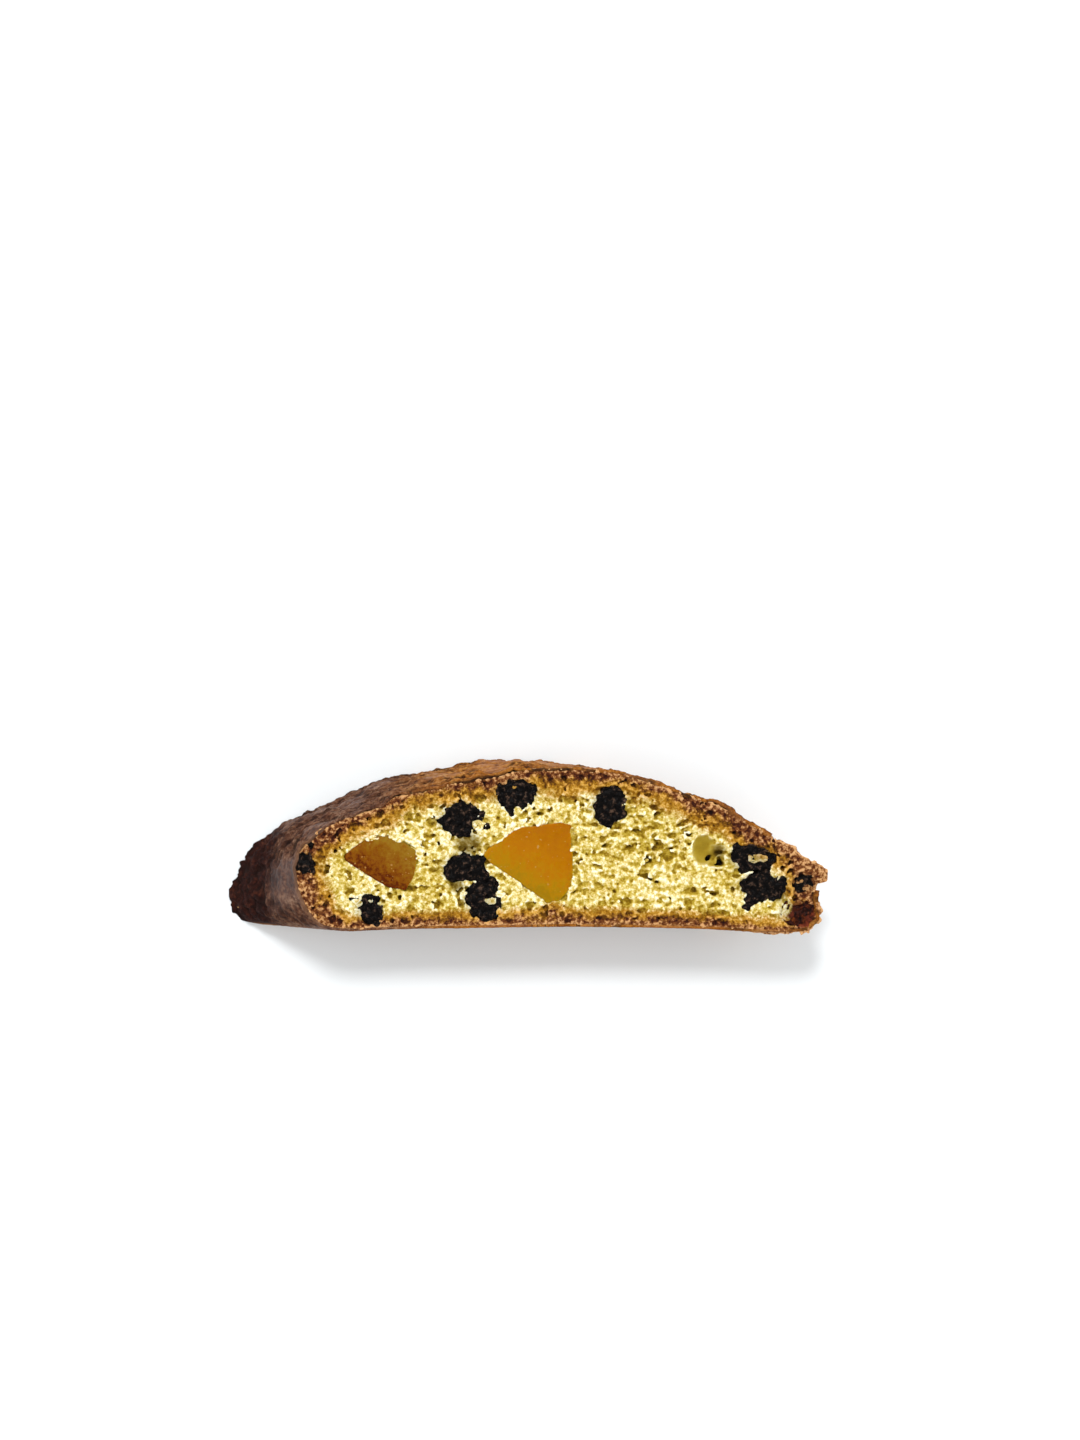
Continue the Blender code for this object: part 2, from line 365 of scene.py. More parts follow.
def candied_dice(node):
    """A soft-edged dice of fruit in a CAD dice's place, as a bmesh."""
    low, high = (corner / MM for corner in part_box(node))
    bm = with_balls(swollen(node), node, high.z if not is_under(node) else low.z)
    bm = after_modifier(bm, "REMESH", mode="VOXEL", voxel_size=APRICOT_VOXEL)
    for _ in range(2):
        bmesh.ops.smooth_vert(
            bm, verts=bm.verts, factor=0.5, use_axis_x=True, use_axis_y=True, use_axis_z=True
        )
    bm.normal_update()
    for vertex in bm.verts:
        wave = APRICOT_WAVE * bump(vertex.co, 3.0, 2.0)
        vertex.co += vertex.normal * wave
        sunk = APRICOT_SUNK - wave
        vertex.co.z = min(max(vertex.co.z, low.z + sunk), high.z - sunk)
    return bm


APRICOTS = [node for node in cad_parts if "apricot" in node]
FRUIT.update({node: candied_dice(node) for node in APRICOTS})
POCKETS.update({node: FRUIT[node] for node in APRICOTS})
print(len(APRICOTS), "dice of apricot,", sum(triangles_in(FRUIT[node]) for node in APRICOTS), "triangles")

# %% [markdown]
# ## The crumb: a block of dough full of holes
# Baked crumb is a hard sponge. Its bubbles differ in size, some run into each other, and a knife tears it
# into
# grains. A flat face with a bump texture would look painted, and thousands of Boolean cuts would take too
# long.
# So the crumb is made as a level set too: a block of numbers, above zero where there is food. Lumpy noise
# makes the grains, each bubble is carved out of the block like a scoop, and OpenVDB lays a surface through
# zero, as Blender's Volume to Mesh does. Each cut face gets its own block, half the slice thick.

# %% Lumpy noise and round scoops
SPACE_LOW = np.array(LOW) - 3.0
SPACE = np.array(HIGH - LOW) + 6.0


def lumps(axes, grain, seed, long=(1.0, 1.0, 1.0)):
    """Smooth random numbers, mostly from -1 to 1, in lumps of one grain, or longer along an axis."""
    steps = grain / 2 * np.array(long)
    count = np.ceil(SPACE / steps).astype(int) + 4
    values = np.random.default_rng(seed).standard_normal(count, np.float32)
    places = [(axis - low) / step + 1.5 for axis, low, step in zip(axes, SPACE_LOW, steps)]
    reach = [(int(p[0]) - 2, int(p[-1]) + 4) for p in places]
    part = values[tuple(slice(max(0, a), b) for a, b in reach)]
    shifted = [p - max(0, a) for p, (a, _) in zip(places, reach)]
    return read_block(part, shifted) * 1.6


def scoop(field, axes, spots, add=False):
    """Carves a round hole for each spot (middle and half widths along X, Y and Z), or adds a round grain."""
    pad = 2 * (axes[0][1] - axes[0][0])
    for *middle, rx, ry, rz in spots:
        radii = (rx, ry, rz)
        window = tuple(
            slice(*np.searchsorted(axis, (c - r - pad, c + r + pad)))
            for axis, c, r in zip(axes, middle, radii)
        )
        if any(part.start >= part.stop for part in window):
            continue
        scaled = [(axis[part] - c) / r for axis, part, c, r in zip(axes, window, middle, radii)]
        x, y, z = np.ix_(*scaled)
        away = (np.sqrt(x * x + y * y + z * z) - 1) * min(radii)
        if add:
            np.maximum(field[window], -away, out=field[window])
        else:
            np.minimum(field[window], away, out=field[window])


def softened(field):
    """The field with its sharpest corners rounded off."""
    for axis in range(3):
        field = (np.roll(field, 1, axis) + 2 * field + np.roll(field, -1, axis)) / 4
    return field


# %% [markdown]
# ## Where the bubbles are
# Most bubbles are scattered by chance, small ones more thickly than large ones. The oven stretched those in
# the right half along the loaf. The few largest are listed one by one, like the hole that steam left beside
# a berry. A bubble's middle lies near the cut, since the knife has to open it for it to show.

# %% Scatter the bubbles
BUBBLES_BY_HAND = (  # x, y, half long, half wide on the upper face
    (-8.6, 10.0, 1.5, 1.0),
    (-18.2, 4.9, 1.3, 1.0),
    (33.4, -11.4, 1.1, 0.9),
    (-16.6, -11.3, 0.9, 0.8),
    (3.4, 6.9, 1.3, 0.8),
    (9.9, 9.6, 2.4, 0.7),
    (21.4, 7.6, 1.5, 0.7),
    (-24.3, -0.2, 0.8, 0.6),
    (-18.0, -4.6, 0.9, 0.8),
    (22.3, 0.6, 1.2, 0.8),
    (24.6, -3.7, 1.5, 0.6),
    (27.0, 4.6, 1.0, 0.7),
    (34.0, -8.6, 1.3, 1.0),
    (20.8, -11.0, 1.4, 1.0),
    (13.2, -1.0, 0.9, 0.8),
    (30.4, -4.6, 1.5, 0.6),
    (17.2, -5.6, 1.3, 0.7),
    (26.2, -8.0, 1.4, 0.5),
    (-34.6, -8.4, 1.3, 1.0),
    (-25.8, -9.6, 1.5, 0.9),
    (38.6, -11.6, 1.2, 0.8),
    (9.0, -11.6, 1.1, 0.5),
)
STEAM_HOLE = ((36.4, -0.4, 2.3, 3.1, 1.6), (38.4, -1.7, 2.0, 2.4, 1.3))  # x, y, half widths along X, Y and Z
COVERS = (  # crumb that the knife left on fruit: x, y and half widths on the upper face
    (-8.9, 4.4, 1.6, 1.1),
    (-15.2, 2.4, 1.6, 1.2),
    (-6.5, -10.6, 1.1, 0.7),
    (-4.3, -9.2, 1.4, 0.7),
    (-4.6, -13.0, 0.6, 1.0),
    (47.1, -2.1, 1.9, 1.0),
    (50.9, -4.6, 1.2, 1.7),
    (-33.2, -10.7, 1.1, 0.5),
    (-30.3, -10.6, 0.5, 0.4),
    (-33.4, -13.8, 1.5, 1.5),
    (-1.4, 12.2, 0.4, 0.35),
    (0.9, 12.6, 0.3, 0.3),
    (-0.6, 10.4, 0.35, 0.3),
    (55.6, -6.6, 0.7, 0.5),
    (57.2, -7.9, 0.8, 0.5),
    (56.4, -8.3, 0.5, 0.5),
    (53.2, -12.8, 1.3, 1.7),
    (54.6, -10.9, 1.6, 0.6),
    (-24.4, 2.1, 2.6, 0.9),
    (-30.2, 2.0, 1.5, 0.7),
    (-20.6, -1.0, 0.8, 2.2),
    (-21.4, 1.0, 1.3, 1.0),
)
KINDS = (  # number in each square millimetre, smallest and largest half width, deepest middle
    (0.16, 0.3, 0.45, 0.5),
    (0.08, 0.45, 0.75, 0.5),
    (0.012, 0.8, 1.1, 0.4),
)
LONG_FROM, LONG_TO = 12.0, 46.0  # bubbles between these places along X are longer


def bubbles(face, up, seed):
    """Bubbles that a cut face opens, as x, y, z and half widths."""
    rng = np.random.default_rng(seed)
    width, height = (HIGH - LOW).xy
    spots = []
    for thick, small, large, deepest in KINDS:
        for _ in range(int(thick * width * height)):
            x, y = rng.uniform(LOW.xy, HIGH.xy)
            radius = small + (large - small) * rng.random() ** 2
            longer = rng.uniform(1.2, 2.1) if LONG_FROM < x < LONG_TO else rng.uniform(0.9, 1.3)
            depth = rng.uniform(0.0, deepest)
            spots.append((x, y, face - up * depth, radius * longer, radius, radius * 0.8))
    roomy = under_crust_at([spot[:3] for spot in spots]) > 0.8 + 1.2 * np.array([min(s[3:]) for s in spots])
    return [spot for spot, room in zip(spots, roomy) if room]

# %% [markdown]
# ## Fill a block and lay its surface
# A point is food if it lies under the skin, under the knife's plane and under the grains. Near the crust the
# holes are fewer, for the dough was pressed there and dried first. Fruit is carved out with its own level
# set, a little more or less by chance, so that it sits in a torn pocket and not in a mould.

# %% Build a block of crumb
SKIN = 0.5  # thickness of the crust's skin
BROKEN_FROM = 49.5  # the end to the right of this is broken and has lost its skin
ACROSS = LEAN.x / LEAN.z
END_SHAPE = (  # x, y, reach and how far the broken end sticks out there
    (60.4, -5.2, 2.6, 1.3),
    (60.2, -8.4, 1.8, -1.4),
    (59.8, -12.6, 2.6, 0.5),
    (50.6, 3.6, 1.8, -1.4),
    (54.0, 0.6, 2.2, 0.8),
    (57.2, -1.6, 1.8, -0.7),
)
KNIFE = 0.04  # the crumb keeps this far from the cut plane
CLUMP, GRAIN = 1.1, 0.7  # size of a clump of crumb, and of a grain on it
FULLNESS = 0.3  # above 0, more than half of the cut face is food
CREASE = 0.5  # how deep the torn crumb is creased between its grains
GAP, APRICOT_GAP = 0.1, 0.12  # between the crumb and a piece of fruit
APRICOT_OPEN, HOLE_OPEN = 0.5, 2.8  # how far below the cut a piece of fruit is laid open
SEAM, OVERLAP = 4.0, 0.8  # the upper crumb is laid in two pieces, which overlap here
STRETCHED = (8.0, 14.0)  # the oven stretched the crumb along the loaf from here on, as far as 30 mm


def block_axes(face, up, step):
    """The places of a block's numbers along X, Y and Z, in whole steps."""
    middle = THICKNESS / 2 - up * 0.3
    z_low, z_high = min(face + up * 0.6, middle), max(face + up * 0.6, middle)
    lows = (LOW.x - 1, LOW.y - 1, z_low)
    highs = (HIGH.x + 1, HIGH.y + 1, z_high)
    firsts = [math.floor(low / step) for low in lows]
    counts = [math.ceil(high / step) - first + 1 for high, first in zip(highs, firsts)]
    axes = [(first + np.arange(count)) * step for first, count in zip(firsts, counts)]
    return firsts, axes


def depth_under_crust(axes):
    """Read from the block of depths at every crossing of the axes."""
    return read_block(DEPTHS, [axis / COARSE - first for axis, first in zip(axes, DEPTH_FROM)])


def smooth_step(value, low, high):
    """0 below low, 1 above high, and smooth between."""
    t = np.clip((value - low) / (high - low), 0, 1)
    return t * t * (3 - 2 * t)


def granules(axes):
    """Round grains of torn crumb, from 0 in the creases between them to 1 on their tops."""
    return np.minimum(1, 1.5 * np.abs(lumps(axes, GRAIN, 2) + 0.45 * lumps(axes, 0.45, 8)))


def crumb_field(axes, face, up):
    """Distances into the crumb, above zero where there is food."""
    level = axes[0][:, None, None] + ACROSS * (THICKNESS - axes[2][None, None, :])
    under_crust = depth_under_crust(axes)
    depth = np.broadcast_to((face - axes[2]) * up, under_crust.shape)
    clump = lumps(axes, CLUMP, 1)
    stretched = smooth_step(level, *STRETCHED)
    stretched = stretched * (1 - smooth_step(level, STRETCHED[1] + 30, STRETCHED[1] + 36))
    clump = clump + stretched * (lumps(axes, CLUMP, 7, (2.0, 0.9, 1.0)) - clump)
    grain = lumps(axes, GRAIN, 2)
    granule = granules(axes)
    broad = lumps(axes, 5.0, 3)

    open_crumb = 0.55 + 0.45 * smooth_step(under_crust, 0.5, 4.0)
    lace = FULLNESS + 0.55 * depth + open_crumb * (clump + 0.7 * (granule - 0.6) + 0.2 * broad)
    top = depth - KNIFE - CREASE * (1 - granule) - 0.08 * (1 + broad)
    broken = smooth_step(level, BROKEN_FROM, BROKEN_FROM + 1.5)
    hidden = smooth_step(depth, 0.6, 1.8) * (1 - broken)
    inset = 0.45 + 0.85 * hidden - 0.55 * broken
    side = under_crust - inset + 0.15 * grain * (1 - hidden) + broken * (0.45 * clump + 0.25 * broad)
    for x, y, reach, grows in END_SHAPE:
        away = np.hypot(axes[0][:, None] - x, axes[1][None, :] - y) / reach
        side += grows * broken * (1 - smooth_step(away, 0.2, 1.0))[:, :, None]
    return np.minimum(np.minimum(lace, top), side), under_crust


def open_to_the_cut(away, axes, up, sunk):
    """Repeats the layer below a sunken face as far as the cut, so that no film of crumb is left over it."""
    depth = THICKNESS - axes[2] if up > 0 else axes[2]
    over = np.nonzero(depth < sunk)[0]
    below = over[0] - 1 if up > 0 else over[-1] + 1
    away[:, :, over] = np.minimum(away[:, :, over], away[:, :, below : below + 1])


def carve_fruit(field, axes, firsts, step, up):
    """Makes room for the fruit that shows in this face."""
    torn = GAP + 0.2 * lumps(axes, 1.6, 4)
    for node, bm in POCKETS.items():
        if is_under(node) != (up < 0):
            continue
        away = np.full(field.shape, 9.0, np.float32)
        grid = level_set(bm.copy(), step, 4)
        grid.copyToArray(away, ijk=tuple(firsts))
        if "apricot" in node:
            open_to_the_cut(away, axes, up, APRICOT_OPEN)
        elif node == "berry_in_hole":
            open_to_the_cut(away, axes, up, HOLE_OPEN)
        np.minimum(field, away + (torn if "berry" in node else APRICOT_GAP), out=field)


def crumb_block(face, up, step, seed):
    """The numbers of one half of the slice, and what later cells measure from them."""
    firsts, axes = block_axes(face, up, step)
    field, under_crust = crumb_field(axes, face, up)
    pores = bubbles(face, up, seed)
    if up > 0:
        pores += [(x, y, face - 0.1, rx, ry, min(rx, ry) * 1.1) for x, y, rx, ry in BUBBLES_BY_HAND]
    pore_field = np.full(field.shape, 9.0, np.float32)
    scoop(pore_field, axes, pores)
    np.minimum(field, pore_field + 0.35 * lumps(axes, 0.9, 5), out=field)
    if up > 0:
        hole = np.full(field.shape, 9.0, np.float32)
        scoop(hole, axes, [(x, y, face, rx, ry, rz) for x, y, rx, ry, rz in STEAM_HOLE])
        ragged = smooth_step(axes[0], 36.4, 38.4)[:, None, None]
        hole += (0.12 + 0.3 * ragged) * lumps(axes, 1.3, 6)
        np.minimum(field, hole, out=field)
    carve_fruit(field, axes, firsts, step, up)
    field = softened(field)
    back = (axes[2] - THICKNESS / 2) * up + 0.15
    field = closed(np.minimum(field, back))
    return {"field": field, "axes": axes, "firsts": firsts, "step": step}


def part_of(block, way):
    """The half of a block to one side of the seam. Past the seam it sinks under the other half."""
    first, last = np.searchsorted(block["axes"][0], (SEAM - OVERLAP, SEAM + OVERLAP))
    kept = slice(0, int(last)) if way < 0 else slice(int(first), None)
    field = block["field"][kept].copy()
    past = smooth_step(-way * (block["axes"][0][kept] - SEAM), 0.0, OVERLAP)
    field -= 0.4 * past[:, None, None]
    firsts = [block["firsts"][0] + kept.start] + block["firsts"][1:]
    return {"field": closed(field), "firsts": firsts, "step": block["step"]}


def closed(field):
    """The field with no food at its ends, so that its surface is closed."""
    for axis in range(3):
        edge = [slice(None)] * 3
        for end in (0, -1):
            edge[axis] = end
            field[tuple(edge)] = -1.0
    return field


def cover_block(step):
    """The numbers of the crumb that lies on fruit in the upper face."""
    firsts, axes = block_axes(THICKNESS, 1, step)
    keep_from = np.searchsorted(axes[2], THICKNESS - 2.5)
    firsts[2] += int(keep_from)
    axes[2] = axes[2][keep_from:]
    field = np.full([len(axis) for axis in axes], -9.0, np.float32)
    spots = [(x, y, THICKNESS - 0.5, rx, ry, 1.0) for x, y, rx, ry in COVERS]
    scoop(field, axes, spots, add=True)
    granule = granules(axes)
    field += 0.2 * lumps(axes, CLUMP, 1) + 0.3 * (granule - 0.6)
    np.minimum(field, THICKNESS - KNIFE - CREASE * (1 - granule) - axes[2], out=field)
    return {"field": closed(softened(field)), "axes": axes, "firsts": firsts, "step": step}


UPPER = crumb_block(THICKNESS, 1, 0.19, 11)
UNDER = crumb_block(0.0, -1, 0.25, 12)
COVER = cover_block(0.18)
for block in (UPPER, UNDER):
    food = round(float((block["field"] > 0).mean()), 2)
    print("a block of", block["field"].shape, "numbers,", food, "food")


# %% [markdown]
# ## From numbers to meshes
# OpenVDB finds where the numbers cross zero and lays quads there. Grains that touch nothing and bubbles
# sealed
# inside come out as parts of their own, so only the longest part is kept.


# %% Lay the surface
def surface_of(block):
    """The crumb's surface as a bmesh of quads."""
    grid = vdb.FloatGrid(9.0)
    grid.copyFromArray((-block["field"]).astype(np.float32), ijk=tuple(block["firsts"]))
    points, quads = grid.convertToQuads(0.0)
    mesh = bpy.data.meshes.new("surface")
    mesh.from_pydata(points * block["step"], [], quads)
    bm = bmesh.new()
    bm.from_mesh(mesh)
    bpy.data.meshes.remove(mesh)
    return bm


def whole_crumb(block, name, most=195000):
    """The crumb of one face as a finished piece."""
    bm = surface_of(block)
    longest_part_only(bm)
    for vertex in bm.verts:
        vertex.co.x = min(max(vertex.co.x, LOW.x), HIGH.x)
        vertex.co.y = min(max(vertex.co.y, LOW.y), HIGH.y)
        vertex.co.z = min(max(vertex.co.z, LOW.z), HIGH.z)
    return finished(bm, name, most)


crumb_left = whole_crumb(part_of(UPPER, -1), "crumb_upper_left")
crumb_right = whole_crumb(part_of(UPPER, 1), "crumb_upper_right")
crumb_under = whole_crumb(UNDER, "crumb_under", 160000)
crumb_cover = finished(surface_of(COVER), "crumb_on_fruit")

# %% [markdown]
# ## Measure the crumb, for its colours
# Three things colour crumb: painted shade makes it darker down in its holes, it is browner near the crust,
# and stained beside a dark
# berry. Each is measured once at every vertex and kept as a named attribute, which the material reads. How
# closed in a vertex is, which sets the painted shade, comes from the block: the share of food in a small
# cube round it.

# %% Attributes for the crumb
CLOSE_BY, FURTHER = 2, 8  # how wide a cube is looked at, in steps
STAIN_REACH = 1.5
# PIT_SHARE and PIT_DEPTH weigh the painted shade in the pits.
PIT_SHARE, PIT_DEPTH = 0.5, 0.6  # how much being closed in counts, and how much depth
DOME_BROWN, BASE_BROWN = 6.8, 4.4  # how deep the browning reaches
STAINS = (  # x, y and reach
    (-10.8, 0.8, 4.0),
    (-13.0, -7.5, 2.2),
    (39.5, -0.5, 2.0),
    (51.5, -9.5, 2.0),
)
BROWNED = (  # x, y, reach and strength of places that the oven browned more, or less
    (-39.4, 3.0, 6.0, 0.25),
    (-43.0, -6.5, 5.0, 0.25),
    (-37.2, -12.2, 4.5, 0.35),
    (10.0, 13.0, 9.0, 0.12),
    (-3.0, 12.5, 6.0, 0.08),
    (8.0, 7.5, 6.0, 0.17),
    (-20.0, 8.0, 7.0, -0.14),
    (35.6, 6.6, 6.0, 0.16),
    (45.0, 2.8, 6.0, 0.25),
    (6.4, -11.5, 3.5, 0.25),
    (40.0, -9.0, 5.0, -0.15),
    (-33.6, -7.0, 5.0, -0.30),
    (57.0, -6.0, 6.0, 0.40),
)


def closed_in(block, passes):
    """The share of food round each number of the block."""
    share = (block["field"] > 0).astype(np.float32)
    for _ in range(passes):
        for axis in range(3):
            share = (np.roll(share, 1, axis) + share + np.roll(share, -1, axis)) / 3
    return share


def keep(made, name, values):
    """Keeps one number for each vertex under a name."""
    attribute = made.data.attributes.new(name, "FLOAT", "POINT")
    attribute.data.foreach_set("value", np.clip(values, 0, 1).astype(np.float32))


def places_of(made):
    """The vertices of an object in millimetres."""
    flat = np.zeros(3 * len(made.data.vertices), np.float32)
    made.data.vertices.foreach_get("co", flat)
    return flat.reshape(-1, 3) / MM


def near(points, x, y, reach):
    """1 at a place on the face, falling to 0 at its reach."""
    return 1 - smooth_step(np.hypot(points[:, 0] - x, points[:, 1] - y), 0.25 * reach, reach)


def stain_at(points, up):
    """How strongly dark fruit has coloured the crumb at each point."""
    stain = np.zeros(len(points))
    for node in BERRIES:
        low, high = (np.array(corner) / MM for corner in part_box(node))
        half = (high - low) / 2
        away = (np.linalg.norm((points - (low + high) / 2) / half, axis=1) - 1) * half[:2].min()
        stain = np.maximum(stain, 0.6 - 0.6 * smooth_step(away, 0.0, STAIN_REACH))
    if up > 0:
        for x, y, reach in STAINS:
            stain = np.maximum(stain, near(points, x, y, reach))
    return stain


def browning_at(points, up):
    """How far the oven browned the crumb, from 1 at the crust to 0 where it is pale."""
    depth = under_crust_at(points)
    over_base = points[:, 1] - LOW.y
    base = 1 - smooth_step(over_base / np.maximum(depth, 0.3), 1.15, 1.6)
    brown = 1 - depth / (DOME_BROWN + (BASE_BROWN - DOME_BROWN) * base)
    lean = 0 if up > 0 else -ACROSS * THICKNESS
    for x, y, reach, strength in BROWNED:
        brown += strength * near(points, x + lean, y, reach)
    return brown


def in_steam_hole(points):
    """1 on the smooth wall of the hole that steam left, less in its ragged part, and 0 elsewhere."""
    inside = np.zeros(len(points))
    for (x, y, rx, ry, _), smooth in zip(STEAM_HOLE, (1.0, 0.6)):
        away = np.hypot((points[:, 0] - x) / rx, (points[:, 1] - y) / ry)
        inside = np.maximum(inside, smooth * (1 - smooth_step(away, 0.9, 1.05)))
    depth = THICKNESS - points[:, 2]
    return inside * smooth_step(depth, 0.1, 0.4) * (depth < THICKNESS / 2)


def measure(made, block, face, up):
    """Writes the crumb's attributes."""
    points = places_of(made)
    block_places = points / block["step"] - np.array(block["firsts"])
    share = sum(read_at(shares, block_places) for shares in block["shares"]) / 2
    depth = (face - points[:, 2]) * up
    within = smooth_step(under_crust_at(points), 0.3, 1.6)  # 0 on the torn side, where depth is no pit
    # Painted shade: the more closed in a vertex is, and the deeper it lies below the cut, the darker its
    # colour.
    painted_pit_shade = (share - 0.30) / 0.5 * PIT_SHARE + (depth - 0.1) / 1.6 * PIT_DEPTH * within
    keep(made, "painted_pit_shade", painted_pit_shade)
    keep(made, "steam_hole", in_steam_hole(points))
    keep(made, "burnt", near(points, 56.2, -13.6, 4.2) if up > 0 else near(points, 41.7, -13.6, 3.0))
    keep(made, "browning", browning_at(points, up))
    keep(made, "stain", stain_at(points, up))
    print(made.name, "painted_pit_shade", np.round(np.percentile(painted_pit_shade[depth < 2.5], (5, 50, 95)), 2))


for block in (COVER, UPPER, UNDER):
    block["shares"] = [closed_in(block, passes) for passes in (CLOSE_BY, FURTHER)]
for made, block in ((crumb_cover, COVER), (crumb_left, UPPER), (crumb_right, UPPER)):
    measure(made, block, THICKNESS, 1)
measure(crumb_under, UNDER, 0.0, -1)

# %% [markdown]
# ## The crust
# The dome was brushed with egg and baked brown: a thin skin that shrank into long wrinkles. The nose is the
# end of the loaf, nearly burnt, with a foot where the dough spread on the tray. The base is flat and matt.
# The outer wall from the frame already has the right shape, so it is subdivided, its vertices are moved by
# noise that is stretched along the loaf, and Solidify gives it its thickness, inwards.

# %% Shape the crust
CRUST_LEVELS = 3
FURROW_DEPTH = 0.7
FOOT_HEIGHT = 3.5
FLAKED = 42.6  # a flake of crust has come off beyond this
TORN_Y = -8.5  # and below this the broken end kept its crust
KNOB = Vector((-58.6, -5.6, 2.4))  # a drop of dough on the nose
KNOB_RADIUS, KNOB_HEIGHT = 1.7, 1.3
BURST = (  # burst bubbles in the skin: place, radius and depth
    (Vector((-50.2, -3.4, 12.0)), 0.9, 1.1),
    (Vector((-52.0, -4.6, 9.6)), 0.6, 0.6),
    (Vector((-49.2, -2.0, 12.6)), 0.6, 0.7),
)
PIMPLES = ((-25.6, 10.8, 1.2, 0.5), (-20.8, 12.0, 1.5, 0.5), (-9.0, 14.6, 1.0, 0.4), (-1.5, 16.6, 1.6, 0.35))


def smooth_one(low, high, value):
    """0 at low, 1 at high, and smooth between."""
    t = min(1.0, max(0.0, (value - low) / (high - low)))
    return t * t * (3 - 2 * t)


def level_of(point):
    """Where a point would lie along X if it were slid up the lean to the upper face."""
    return point.x + ACROSS * (THICKNESS - point.z)


def rolled_out(point):
    """A point of the dome on a flat sheet: along the dome and up the slice."""
    angle = math.atan2(max(0.0, point.y + 17.0), 0.62 * (level_of(point) - 7.0))
    return Vector((45.0 * angle, 1.28 * point.z, 0.0))


def furrow_at(point, base):
    """1 in a furrow that runs along the dome, and 0 between furrows."""
    rolled = rolled_out(point)
    long = Vector((rolled.x / 3.2, rolled.y, 0.0))
    return smooth_one(-0.06, -0.28, bump(long, 1.25, 2.0)) * (1 - base)


def smoothness_at(point):
    """1 where the egg wash ran smooth: beside the cut on the left, and in patches of the dome."""
    beside_cut = smooth_one(8.0, 13.0, point.z) * smooth_one(-43.0, -46.0, level_of(point))
    beside_cut *= smooth_one(1.0, -3.0, point.y) * smooth_one(-16.0, -13.0, point.y)
    patches = smooth_one(0.0, 0.4, bump(point, 7.0, 3.0)) * smooth_one(-56.0, -48.0, point.x)
    return max(beside_cut, 0.6 * patches)


def crust_move(point, base, furrow, smoothness):
    """How far the skin stands out at a point, in millimetres."""
    nose = smooth_one(-46.0, -56.0, point.x) * (1 - base)
    rough = (1 - 0.75 * smoothness) * (1 - 0.7 * base)
    moved = (1 - base) * (0.45 * bump(point, 6.0, 1.0) + 0.75 * rough * bump(point, 2.4, 6.0))
    moved += rough * (0.4 * bump(point, 1.3, 4.0) + 0.25 * bump(point, 0.7, 8.0)) * (1 + nose)
    moved -= FURROW_DEPTH * furrow * (1 - 0.8 * smoothness)
    moved += nose * 0.45 * rough * (crease(point, 2.0, 3.0) - 0.5)
    foot = max(0.0, 1 - point.z / FOOT_HEIGHT)
    moved += nose * foot * (0.5 + 0.5 * bump(point, 1.8, 2.0))
    moved += KNOB_HEIGHT * smooth_one(KNOB_RADIUS * 1.6, 0.0, (point - KNOB).length)
    for place, radius, depth in BURST:
        moved -= depth * smooth_one(radius * 1.5, radius * 0.3, (point - place).length)
    for x, y, radius, height in PIMPLES:
        moved += height * smooth_one(radius * 1.5, 0.0, (point.xy - Vector((x, y))).length)
    if point.y > TORN_Y:
        moved += 0.3 * smooth_one(FLAKED - 12, FLAKED - 2, level_of(point))
        moved -= 0.75 * smooth_one(FLAKED - 0.3, FLAKED + 0.3, level_of(point) + bump(point, 3.0))
        moved = min(moved, 0.1) if level_of(point) > FLAKED + 1 else moved
    between_cuts = smooth_one(0.5, 1.8, min(point.z, THICKNESS - point.z))
    return max(moved, -0.35 - 0.6 * between_cuts)  # any deeper and the crumb would show through


def crust_skin():
    """The crust as a closed shell, in millimetres."""
    bm = after_modifier(wall, "SUBSURF", levels=CRUST_LEVELS, render_levels=CRUST_LEVELS)
    torn = []
    for face in bm.faces:
        middle = face.calc_center_median()
        ragged = 1.3 * bump(middle, 2.5, 4.0) + 0.5 * bump(middle, 0.9, 6.0)
        if level_of(middle) + ragged > BROKEN_FROM + 1 and middle.y + ragged > TORN_Y:
            torn.append(face)
    bmesh.ops.delete(bm, geom=torn, context="FACES")
    bm.normal_update()
    names = ("furrow", "smoothness", "along_dome", "up_slice")
    furrows, smooths, alongs, ups = (bm.verts.layers.float.new(name) for name in names)
    for vertex in bm.verts:
        point, normal = vertex.co.copy(), vertex.normal.copy()
        base = max(0.0, -normal.y) ** 2
        vertex[furrows] = furrow_at(point, base)
        vertex[smooths] = smoothness_at(point)
        vertex[alongs], vertex[ups], _ = rolled_out(point)
        sideways = Vector((normal.x, normal.y, normal.z * 0.4)).normalized()
        moved = crust_move(point, base, vertex[furrows], vertex[smooths])
        vertex.co += sideways * (moved * 0.8 - 0.2)
    bm = after_modifier(bm, "SOLIDIFY", thickness=SKIN, offset=-1.0, use_rim=True)
    for vertex in bm.verts:
        rim = 0.28 + 0.2 * bump(vertex.co, 1.5, 3.0) - 0.13 * smooth_one(-34.0, -40.0, level_of(vertex.co))
        vertex.co.x = min(max(vertex.co.x, LOW.x), HIGH.x)
        vertex.co.y = min(max(vertex.co.y, LOW.y), HIGH.y)
        vertex.co.z = min(max(vertex.co.z, rim), THICKNESS - rim)
    return bm


crust = finished(crust_skin(), "crust_skin")

# %% [markdown]
# ## Material helpers
# Colours are written as on a screen, in hex, and turned to the linear numbers that Cycles works with. One
# function adds a node: it sets the node's own settings, then its inputs, and an input that is given another
# node's output is linked to it. Patterns are scaled by their real size in millimetres.


# %% Helpers for materials
def linear(colour):
    """A hex colour as linear red, green, blue and alpha."""
    parts = [int(colour[i : i + 2], 16) / 255 for i in (1, 3, 5)]
    return [p / 12.92 if p <= 0.04045 else ((p + 0.055) / 1.055) ** 2.4 for p in parts] + [1.0]


